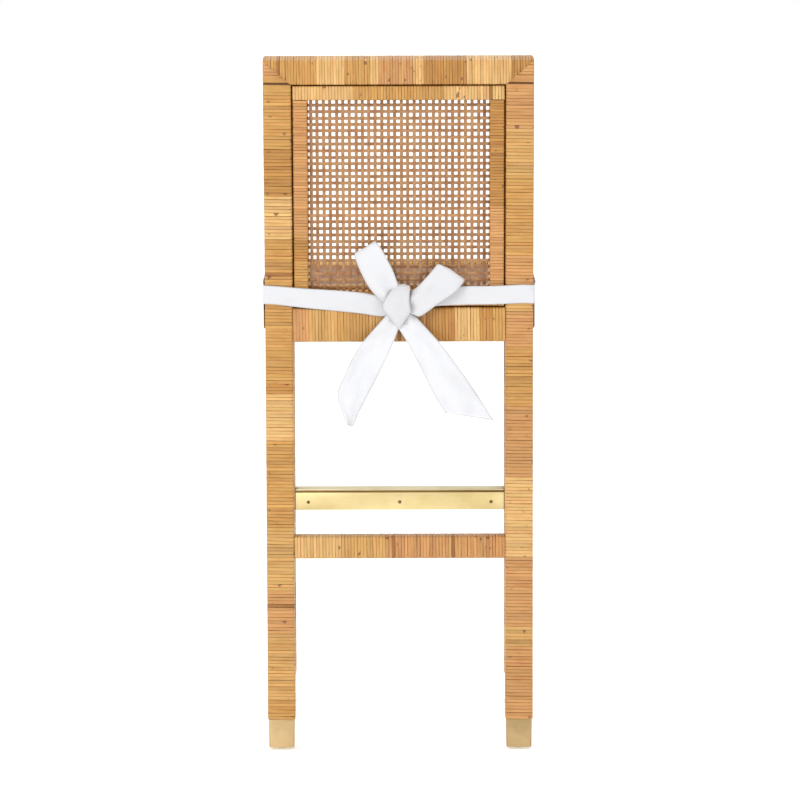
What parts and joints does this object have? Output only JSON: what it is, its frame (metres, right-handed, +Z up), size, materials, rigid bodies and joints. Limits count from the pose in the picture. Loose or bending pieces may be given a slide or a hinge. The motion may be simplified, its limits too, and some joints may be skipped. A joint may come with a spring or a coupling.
{
  "type": "bar stool",
  "caption": "Rattan-wrapped bar stool with a raked cane back panel, cane seat, brass-capped footrest, brass foot ferrules and a canvas ribbon tied in a bow behind.",
  "frame": {"origin": "middle of the footprint at floor level", "axes": "+Z up, +Y towards the stool's front, -Y towards its back, +X to the right as seen from behind"},
  "size_m": [0.4736, 0.5174, 1.1819],
  "materials": {
    "rattan": "wound rattan, clear satin lacquer",
    "cane": "woven cane strands, natural satin",
    "cane_spline": "reed spline, natural",
    "core_wood": "planed hardwood, unfinished",
    "beech": "plain beech",
    "brass": "brushed satin",
    "dark_screw": "blackened",
    "steel_screw": "zinc",
    "glide": "satin metal dome on a nail",
    "canvas": "stitched cotton canvas"
  },
  "bodies": {
    "root": {"back_cane": "cane", "back_cane_spline": "cane_spline", "back_lower_rail": "core_wood", "back_lower_rail_wrap": "rattan", "corner_block_screws": "steel_screw", "corner_blocks": "beech", "crest_rail": "core_wood", "crest_rail_wrap": "rattan", "dowels": "beech", "ferrule_front_left": "brass", "ferrule_front_right": "brass", "ferrule_rear_left": "brass", "ferrule_rear_right": "brass", "footplate_angle": "brass", "footplate_back": "brass", "footplate_screws": "dark_screw", "footrest_rail": "core_wood", "front_leg_left": "core_wood", "front_leg_right": "core_wood", "front_leg_wrap_left": "rattan", "front_leg_wrap_right": "rattan", "glide_front_left": "glide", "glide_front_right": "glide", "glide_rear_left": "glide", "glide_rear_right": "glide", "panel_packing": "core_wood", "panel_rail_bottom": "core_wood", "panel_rail_top": "core_wood", "panel_rail_wrap_bottom": "rattan", "panel_rail_wrap_top": "rattan", "panel_stile_left": "core_wood", "panel_stile_right": "core_wood", "panel_stile_wrap_left": "rattan", "panel_stile_wrap_right": "rattan", "rear_post_left": "core_wood", "rear_post_right": "core_wood", "rear_post_wrap_left": "rattan", "rear_post_wrap_right": "rattan", "rear_stretcher": "core_wood", "rear_stretcher_wrap": "rattan", "ribbon_band": "canvas", "ribbon_knot": "canvas", "ribbon_loop_left": "canvas", "ribbon_loop_right": "canvas", "ribbon_tail_left": "canvas", "ribbon_tail_right": "canvas", "seat_cane": "cane", "seat_cane_spline": "cane_spline", "seat_rail_front": "core_wood", "seat_rail_left": "core_wood", "seat_rail_rear": "core_wood", "seat_rail_right": "core_wood", "seat_rail_wrap_front": "rattan", "seat_rail_wrap_left": "rattan", "seat_rail_wrap_rear": "rattan", "seat_rail_wrap_right": "rattan", "side_stretcher_left": "core_wood", "side_stretcher_right": "core_wood", "side_stretcher_wrap_left": "rattan", "side_stretcher_wrap_right": "rattan"}
  },
  "joints": []
}
